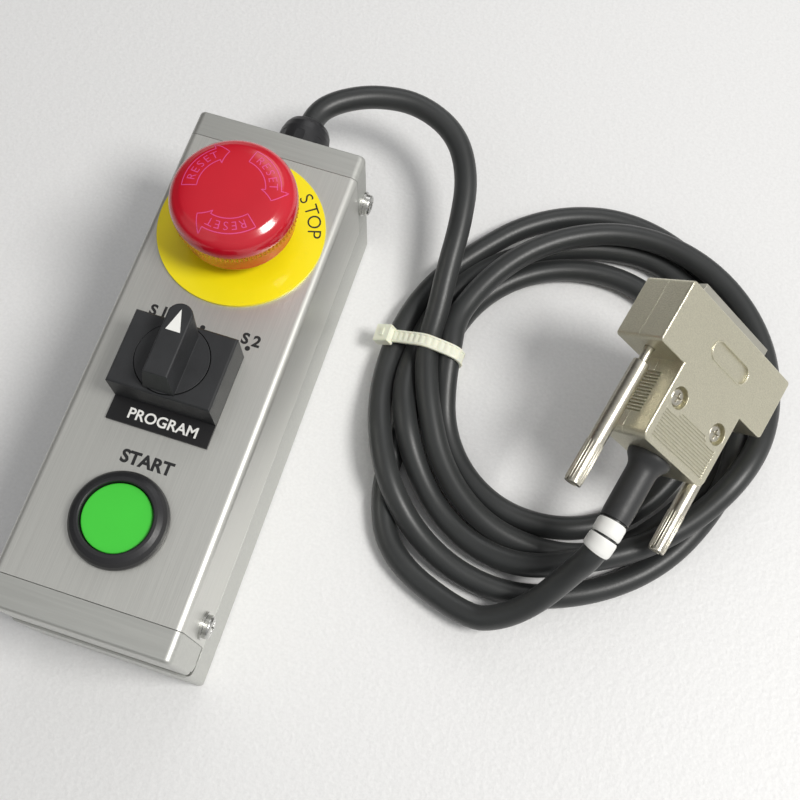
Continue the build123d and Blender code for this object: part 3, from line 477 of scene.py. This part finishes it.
# ---- floor and the pieces on the cable ---------------------------------------------------------
# Radii in mm at even steps, and the stretch of cable covered, in mm back from the cable's end.
BOOT_RADII = [7.4, 7.6, 7.2, 6.2, 5.5, 5.2] + [5.15] * 12 + [5.05, 4.9]
BOOT_STRETCH = (1.2, 26.0)
SLEEVE_RADII = [4.7, 4.95] + [5.0] * 6 + [4.95, 4.7]
SLEEVE_STRETCHES = ((26.8, 31.8), (32.4, 37.4))
# The hood's oblong panel: its middle from the hood's rear end, axis and middle plane, in mm.
OBLONG_AHEAD, OBLONG_ASIDE, OBLONG_UP = 38.8, 0.8, 10.17
OBLONG_HALF_RUN, OBLONG_END_R = 6.7 * MM, 3.45 * MM
OBLONG_WIRE_R = 0.30 * MM
OBLONG_STEPS = 48


def make_floor():
    mesh = bpy.data.meshes.new("floor")
    corners = [(x * FLOOR_HALF, y * FLOOR_HALF, 0) for x, y in ((-1, -1), (1, -1), (1, 1), (-1, 1))]
    mesh.from_pydata(corners, [], [(0, 1, 2, 3)])
    floor = bpy.data.objects.new("floor", mesh)
    bpy.context.scene.collection.objects.link(floor)
    paint(floor, "floor")


def sleeve_into(bm, line, stretch, radii):
    """A round sleeve on a stretch of the cable's line, with its radii in mm."""
    points = stretch_of(line, stretch[0] * MM, stretch[1] * MM, len(radii))
    sweep_into(bm, points, [r * MM for r in radii])


def make_boot(line):
    """Tapered sleeve with a flared foot in the hood's mouth."""
    def build(bm):
        sleeve_into(bm, line, BOOT_STRETCH, BOOT_RADII)
    boot = new_piece("boot", build, "boot", "station")
    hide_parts("hood_boot")
    return boot


def make_markers(line):
    """Two plain white marker sleeves on the cable beside the boot."""
    def build(bm):
        for stretch in SLEEVE_STRETCHES:
            sleeve_into(bm, line, stretch, SLEEVE_RADII)
    return new_piece("marker_sleeves", build, "white", "station")


def make_oblong_rim():
    """Raised line round the oblong panel on the hood's flange."""
    centre = (hood_back + mate_dir * OBLONG_AHEAD * MM + flange_dir * OBLONG_ASIDE * MM
              + hood_up * OBLONG_UP * MM)

    def build(bm):
        path = []
        for k in range(OBLONG_STEPS + 1):
            turn = 2 * math.pi * k / OBLONG_STEPS
            shift = OBLONG_HALF_RUN if math.cos(turn) > 0 else -OBLONG_HALF_RUN
            path.append(centre + flange_dir * (shift + OBLONG_END_R * math.cos(turn))
                        + mate_dir * OBLONG_END_R * math.sin(turn))
        sweep_into(bm, path, [OBLONG_WIRE_R] * len(path), 10)
    return new_piece("oblong_rim", build, "hood", "station", 60.0)


# ---- emergency stop head -----------------------------------------------------------------------
HEAD_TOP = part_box("estop_head")[1][2]
HEAD_TEETH = 84
STEPS_PER_TOOTH = 4
# The dome and its smooth shoulder: (radius, depth below the top), mm.
HEAD_PROFILE = [
    (0.0, 0.0), (3.0, 0.02), (6.0, 0.08), (9.0, 0.18), (10.2, 0.25), (12.0, 0.42), (14.0, 0.72),
    (15.6, 1.12), (16.4, 1.42), (16.8, 1.75), (17.6, 2.10), (18.6, 2.85), (19.4, 3.8),
    (19.9, 5.0), (20.15, 6.4), (20.2, 8.0),
]
# The rim under the shoulder: (radius, depth below the top, depth of its teeth), mm.
HEAD_RIM = [(20.2, 8.5, 0.05), (20.15, 8.75, 0.55), (20.0, 11.6, 0.55), (19.5, 12.2, 0.35)]
# The skirt, then the hollow inside it and its ceiling: (radius, depth below the top), mm.
HEAD_SKIRT = [(18.85, 12.7), (18.75, 13.6), (18.65, 16.0), (18.6, 18.6), (14.4, 18.6),
              (14.4, 12.4), (4.2, 12.4)]


def head_height(reach):
    """Height of the dome's surface at a distance from its axis, both in metres."""
    mm_reach = reach / MM
    for (r0, d0), (r1, d1) in zip(HEAD_PROFILE, HEAD_PROFILE[1:]):
        if mm_reach <= r1:
            return HEAD_TOP - (d0 + (d1 - d0) * (mm_reach - r0) / (r1 - r0)) * MM
    return HEAD_TOP - HEAD_PROFILE[-1][1] * MM


def make_estop_head():
    """Red mushroom head: a smooth dome, a toothed rim and a skirt that is hollow below."""
    steps = HEAD_TEETH * STEPS_PER_TOOTH

    def ring(bm, radius, depth, tooth=0.0):
        made = []
        for k in range(steps):
            turn = 2 * math.pi * k / steps
            cut = tooth if k % STEPS_PER_TOOTH < STEPS_PER_TOOTH / 2 else 0.0
            reach = (radius - cut) * MM
            made.append(bm.verts.new((reach * math.cos(turn), ESTOP_Y + reach * math.sin(turn),
                                      HEAD_TOP - depth * MM)))
        return made

    def build(bm):
        rings = [ring(bm, r, d) for r, d in HEAD_PROFILE[1:]]
        top = bm.verts.new((0, ESTOP_Y, HEAD_TOP))
        for k in range(steps):
            bm.faces.new((top, rings[0][k], rings[0][(k + 1) % steps]))
        rings += [ring(bm, r, d, tooth) for r, d, tooth in HEAD_RIM]
        rings += [ring(bm, r, d) for r, d in HEAD_SKIRT]
        bridge_rings(bm, rings)
        bm.faces.new(rings[-1])

    head = new_piece("estop_mushroom", build, "red", "estop_mushroom", 30.0)
    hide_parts("estop_head")


# ---- printed legends ---------------------------------------------------------------------------
PRINT_LIFT = 0.03 * MM
CAPITAL_SHARE = 0.70               # a capital's height in the font, per unit of its size
# Legends: (text, x, y, capital height, weight added to the strokes), mm.
PANEL_TEXT = [
    ("START", 0.8, -34.2, 4.0, 0.22), ("S", -16.6, 13.6, 3.6, 0.20),
    ("1", -13.0, 13.9, 3.6, 0.20), ("S", 14.7, 13.4, 3.6, 0.20), ("2", 18.5, 13.4, 3.6, 0.20),
]
PLATE_TEXT = [("PROGRAM", 0.9, -21.2, 3.4, 0.10)]
DOT_PLACES = ((0.5, 12.6), (16.5, 10.3))
DOT_R = 0.85
DOT_STEPS = 24
# STOP on the yellow ring: bearings of its letters in degrees, circle, capital height, weight.
STOP_BEARINGS = (46.5, 35.5, 24.5, 13.8)
STOP_CIRCLE_R, STOP_HEIGHT, STOP_WEIGHT = 24.1 * MM, 4.6 * MM, -0.03 * MM
# The arrows on the head: bearings of their tails, angles from tail to neck and to tip, degrees.
ARROW_TAILS = (79.0, 319.5, 192.5)
ARROW_NECK, ARROW_TIP = 64.0, 80.0
ARROW_INNER, ARROW_OUTER, ARROW_MIDDLE = 10.6 * MM, 15.4 * MM, 13.1 * MM
ARROW_FLARE = 2.2 * MM
ARROW_LINE = 0.16 * MM             # half the width of the outline
# RESET in each arrow: angle from the tail to its first letter and between letters, degrees.
RESET_FIRST, RESET_PITCH = 13.0, 11.4
RESET_HEIGHT, RESET_WEIGHT = 2.7 * MM, -0.02 * MM


def letter_mesh(text, height, weight=0.0):
    """Flat outline mesh of some text, its capital height set, its middle at the origin."""
    data = bpy.data.curves.new("legend", "FONT")
    data.body = text
    data.align_x = "CENTER"
    data.resolution_u = 4
    data.offset = weight
    data.size = height / CAPITAL_SHARE
    obj = bpy.data.objects.new("legend", data)
    bpy.context.scene.collection.objects.link(obj)
    bpy.context.view_layer.update()
    mesh = bpy.data.meshes.new_from_object(obj)
    bpy.data.objects.remove(obj)
    for v in mesh.vertices:
        v.co.y -= height / 2
    return mesh


def join_into(bm, mesh, move):
    """Add a flat mesh to a bmesh, each of its points moved by move()."""
    start = len(bm.verts)
    bm.from_mesh(mesh)
    bm.verts.ensure_lookup_table()
    for v in bm.verts[start:]:
        v.co = move(v.co.copy())
    bpy.data.meshes.remove(mesh)


def flat_legend(name, items, finish, body, top):
    """Text set on a flat face whose height is top."""
    def build(bm):
        for text, x, y, height, weight in items:
            place = Vector((x * MM, y * MM, top + PRINT_LIFT))
            join_into(bm, letter_mesh(text, height * MM, weight * MM), lambda co, p=place: p + co)
    new_piece(name, build, finish, body)


def on_circle(co, middle_r, bearing, height_at):
    """Wrap a flat point round the stop's axis, letters' tops outward, read clockwise."""
    reach = middle_r + co.y
    turn = math.radians(bearing) - co.x / middle_r
    return Vector((reach * math.cos(turn), ESTOP_Y + reach * math.sin(turn), height_at(reach)))


def make_stop_legend():
    """STOP printed round the yellow ring, beside the head."""
    def ring_face(reach):
        return RING_TOP + PRINT_LIFT

    def build(bm):
        for letter, bearing in zip("STOP", STOP_BEARINGS):
            join_into(bm, letter_mesh(letter, STOP_HEIGHT, STOP_WEIGHT),
                      lambda co, b=bearing: on_circle(co, STOP_CIRCLE_R, b, ring_face))
    new_piece("stop_legend", build, "ink", "station")


def make_reset_print():
    """Three clockwise outline arrows with RESET inside them, drawn on the dome."""
    def dome(reach):
        return head_height(reach) + PRINT_LIFT

    def ribbon(bm, path):
        """A narrow strip along (distance, bearing in radians) points on the dome."""
        flat = [Vector((r * math.cos(a), r * math.sin(a))) for r, a in path]
        pairs = []
        for i, point in enumerate(flat):
            ahead = flat[(i + 1) % len(flat)] - flat[i - 1]
            side = Vector((-ahead.y, ahead.x)).normalized() * ARROW_LINE
            pair = []
            for share in (-1, 1):
                spot = point + side * share
                pair.append(bm.verts.new((spot.x, ESTOP_Y + spot.y, dome(spot.length))))
            pairs.append(pair)
        for a, b in zip(pairs, pairs[1:] + pairs[:1]):
            bm.faces.new((a[0], a[1], b[1], b[0]))

    def span(r0, a0, r1, a1, count):
        return [(r0 + (r1 - r0) * k / count, a0 + (a1 - a0) * k / count) for k in range(count)]

    def outline(tail_deg):
        """One arrow, from its tail's outer corner round the head and back."""
        tail = math.radians(tail_deg)
        neck = tail - math.radians(ARROW_NECK)
        tip = tail - math.radians(ARROW_TIP)
        barb_out, barb_in = ARROW_OUTER + ARROW_FLARE, ARROW_INNER - ARROW_FLARE * 0.6
        return (span(ARROW_OUTER, tail, ARROW_OUTER, neck, 24)
                + span(ARROW_OUTER, neck, barb_out, neck, 4)
                + span(barb_out, neck, ARROW_MIDDLE, tip, 8)
                + span(ARROW_MIDDLE, tip, barb_in, neck, 8)
                + span(barb_in, neck, ARROW_INNER, neck, 4)
                + span(ARROW_INNER, neck, ARROW_INNER, tail, 24)
                + span(ARROW_INNER, tail, ARROW_OUTER, tail, 6))

    def build(bm):
        for tail_deg in ARROW_TAILS:
            ribbon(bm, outline(tail_deg))
            for index, letter in enumerate("RESET"):
                bearing = tail_deg - RESET_FIRST - RESET_PITCH * index
                join_into(bm, letter_mesh(letter, RESET_HEIGHT, RESET_WEIGHT),
                          lambda co, b=bearing: on_circle(co, ARROW_MIDDLE, b, dome))
    new_piece("reset_print", build, "print_pink", "estop_mushroom")


def make_legends():
    flat_legend("panel_legends", PANEL_TEXT, "ink", "station", PANEL_Z)
    flat_legend("program_legend", PLATE_TEXT, "white", "station", PLATE_TOP)

    def dots(bm):
        lift = Vector((0, 0, PANEL_Z + PRINT_LIFT))
        for x, y in DOT_PLACES:
            ring = []
            for k in range(DOT_STEPS):
                turn = 2 * math.pi * k / DOT_STEPS
                spot = mm(x + DOT_R * math.cos(turn), y + DOT_R * math.sin(turn), 0)
                ring.append(bm.verts.new(spot + lift))
            bm.faces.new(ring)
    new_piece("position_dots", dots, "ink", "station")
    make_stop_legend()
    make_reset_print()


# ---- cable tie ---------------------------------------------------------------------------------
TIE_SLANT = 0.09                   # how far the strap drifts towards the near end, per unit across
TIE_FLOOR, TIE_FOOT = 0.3 * MM, 0.1 * MM             # lowest the inner line and the faces may be
STRAP_SLACK = 0.35 * MM
STRAP_STEPS, OUTLINE_STEPS, EASING_PASSES = 130, 720, 14
GROOVE_DEPTH = 0.35 * MM
GROOVE_PITCH = 4                   # steps from one cross groove to the next, half of them cut
# The strap's section: (height over its inner face in mm, place across it in mm, grooved).
STRAP_SECTION = [
    (0.0, -2.45, False), (0.9, -2.45, False), (1.15, -2.15, False), (1.15, -1.65, False),
    (1.15, -1.55, True), (1.15, 1.55, True), (1.15, 1.65, False), (1.15, 2.15, False),
    (0.9, 2.45, False), (0.0, 2.45, False),
]
# The latch lies on the strap where it comes down over the outermost strand. Its sizes are along,
# across and out of the strap, and its places are along and out from its middle, in mm.
LATCH_ALONG, LATCH_OUT = Vector((0.852, 0, 0.524)), Vector((-0.524, 0, 0.852))
LATCH_INSET, LATCH_SHIFT, LATCH_HEIGHT = 5.1 * MM, 0.4 * MM, 10.9 * MM
LATCH_SIZE, PAWL_SIZE, PAWL_PLACE = (6.6, 6.8, 4.2), (1.8, 3.4, 0.7), (0.2, 2.2)
MOUTH_WALL, MOUTH_DEPTH, LATCH_ROUND = 0.9 * MM, 0.8 * MM, 0.3 * MM
MOUTH_FROM = 2.0 * MM              # only the latch's two ends lie this far from its middle in x


def make_tie():
    """Strap drawn round the five strands, with its latch on the outer side."""
    tie_y = COIL_CENTRE[1] * MM
    strands = [(keys[0][1], keys[0][2]) for keys in TURNS]
    strands = [((COIL_CENTRE[0] - reach) * MM, height * MM) for reach, height in strands]

    def hull_point(angle):
        """The furthest point of the bundle in one direction, standing on the floor."""
        normal = Vector((math.cos(angle), 0, math.sin(angle)))
        best = max(strands, key=lambda s: s[0] * normal.x + s[1] * normal.z)
        spot = Vector((best[0], 0, best[1])) + normal * (CABLE_DIAMETER / 2 + STRAP_SLACK)
        spot.z = max(spot.z, TIE_FLOOR)
        return spot

    def even_loop():
        """The bundle's outline at even steps, its corners eased."""
        outline = [hull_point(2 * math.pi * k / OUTLINE_STEPS) for k in range(OUTLINE_STEPS)]
        reach = [0.0]
        for a, b in zip(outline, outline[1:] + outline[:1]):
            reach.append(reach[-1] + (b - a).length)
        loop = []
        i = 0
        for k in range(STRAP_STEPS):
            want = reach[-1] * k / STRAP_STEPS
            while reach[i + 1] < want:
                i += 1
            share = (want - reach[i]) / max(reach[i + 1] - reach[i], 1e-9)
            loop.append(outline[i].lerp(outline[(i + 1) % OUTLINE_STEPS], share))
        for _ in range(EASING_PASSES):
            loop = [(before + spot * 2 + after) / 4 for before, spot, after
                    in zip(loop[-1:] + loop[:-1], loop, loop[1:] + loop[:1])]
        return loop

    def build(bm):
        loop = even_loop()
        rings = []
        for k, spot in enumerate(loop):
            ahead = loop[(k + 1) % STRAP_STEPS] - loop[k - 1]
            out = Vector((ahead.z, 0, -ahead.x)).normalized()
            cut = GROOVE_DEPTH if k % GROOVE_PITCH < GROOVE_PITCH / 2 else 0.0
            middle_y = tie_y - TIE_SLANT * (spot.x - strands[1][0])
            ring = []
            for rise, across, grooved in STRAP_SECTION:
                depth = rise * MM - (cut if grooved else 0.0)
                place = spot + out * depth + Vector((0, middle_y + across * MM, 0))
                place.z = max(place.z, TIE_FOOT)
                ring.append(bm.verts.new(place))
            rings.append(ring)
        bridge_rings(bm, rings, closed=True)
    strap = new_piece("tie_strap", build, "nylon", "station", 50.0)

    low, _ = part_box("cable_tie")
    centre = Vector((low[0] + LATCH_INSET, tie_y - LATCH_SHIFT, LATCH_HEIGHT))

    def block(bm, size, place):
        """A box of a size, moved to a place along and out of the strap."""
        for v in bmesh.ops.create_cube(bm, size=1.0)["verts"]:
            v.co = (centre + LATCH_ALONG * (v.co.x * size[0] + place[0]) * MM
                    + Vector((0, v.co.y * size[1] * MM, 0))
                    + LATCH_OUT * (v.co.z * size[2] + place[1]) * MM)

    def latch(bm):
        block(bm, LATCH_SIZE, (0.0, 0.0))
        mouth = [f for f in bm.faces if abs(f.calc_center_median().x - centre.x) > MOUTH_FROM]
        bmesh.ops.inset_individual(bm, faces=mouth, thickness=MOUTH_WALL)
        for face in mouth:
            inward = (centre - face.calc_center_median()).normalized() * MOUTH_DEPTH
            bmesh.ops.translate(bm, verts=face.verts, vec=inward)
        block(bm, PAWL_SIZE, PAWL_PLACE)
        hard = [e for e in bm.edges if e.calc_face_angle(0) > 1.0]
        bmesh.ops.bevel(bm, geom=hard, offset=LATCH_ROUND, segments=2, affect="EDGES")
    head = new_piece("tie_latch", latch, "nylon", "station", 50.0)
    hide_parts("cable_tie")
    return [strap, head]


# ---- jackscrew knurls --------------------------------------------------------------------------
KNOB_BEHIND_LEDGE = 5.5 * MM       # from the flange's rear ledge to the front of the knob
KNURL_FOOT = 44.4 * MM             # from the front of the knob to the rear end of the ridges
KNURL_LENGTH, KNURL_CIRCLE_R, KNURL_RIDGES = 14.5 * MM, 2.72 * MM, 18
# One ridge: (share of its length, radius in mm).
RIDGE_PROFILE = [(0.0, 0.12), (0.04, 0.30), (0.5, 0.30), (0.96, 0.30), (1.0, 0.12)]


def make_knurl(side):
    """Fine ridges round the last third of a jackscrew's knob."""
    axis_point = jack_left if side == "left" else jack_right
    ledge = hood_back + mate_dir * (HOOD_LENGTH - HOOD_FLANGE_DEPTH)
    ahead_of_ledge = (axis_point - ledge).dot(mate_dir)
    foot = axis_point - mate_dir * (ahead_of_ledge + KNOB_BEHIND_LEDGE + KNURL_FOOT)

    def build(bm):
        for k in range(KNURL_RIDGES):
            turn = 2 * math.pi * (k + 0.5) / KNURL_RIDGES
            out = flange_dir * math.cos(turn) + hood_up * math.sin(turn)
            points = [foot + out * KNURL_CIRCLE_R + mate_dir * (KNURL_LENGTH * share)
                      for share, _ in RIDGE_PROFILE]
            sweep_into(bm, points, [r * MM for _, r in RIDGE_PROFILE], 8)
    return new_piece(f"knurl_{side}", build, "bright", f"jack_screw_{side}", 60.0)


# ---- return springs ----------------------------------------------------------------------------
SPRING_TURNS = 5
SPRING_STEPS = 28                  # per turn
SPRING_WIRE_R = 0.5 * MM


def make_spring(node):
    """Coil spring under a plunger's flange."""
    low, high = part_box(node)
    middle = Vector(((low[0] + high[0]) / 2, (low[1] + high[1]) / 2, low[2]))
    height = high[2] - low[2]
    reach = (high[0] - low[0]) / 2 - SPRING_WIRE_R
    steps = SPRING_STEPS * SPRING_TURNS

    def build(bm):
        points = []
        for k in range(steps + 1):
            turn = 2 * math.pi * SPRING_TURNS * k / steps
            rise = SPRING_WIRE_R + (height - 2 * SPRING_WIRE_R) * k / steps
            points.append(middle + Vector((reach * math.cos(turn), reach * math.sin(turn), rise)))
        sweep_into(bm, points, [SPRING_WIRE_R] * len(points), 10)
    spring = new_piece(f"{node}_coil", build, "steel", "station", 60.0)
    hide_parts(node)
    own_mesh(spring)


# ---- the whole scene ---------------------------------------------------------------------------
make_camera()
make_lights()
make_floor()
finish_cad_nodes()
make_estop_head()
make_legends()
make_spring("estop_spring")
make_spring("start_spring")
tie_pieces = make_tie()
knurls = [make_knurl(side) for side in ("left", "right")]
cable = make_cable()
line = centreline(cable)
boot = make_boot(line)
markers = make_markers(line)
ON_CABLE = [
    "gland_body", "gland_nut", "gland_seal", "gland_locknut", "cable_entry", *tie_pieces, boot,
    markers, make_oblong_rim(), *knurls, "hood_upper_shell", "hood_lower_shell", "hood_screws",
    "hood_cable_clamp", "hood_clamp_screws", "connector_shell", "connector_insulator",
    "connector_pins", "jackscrew_left", "jackscrew_right", "jack_washer_left",
    "jack_washer_right",
]
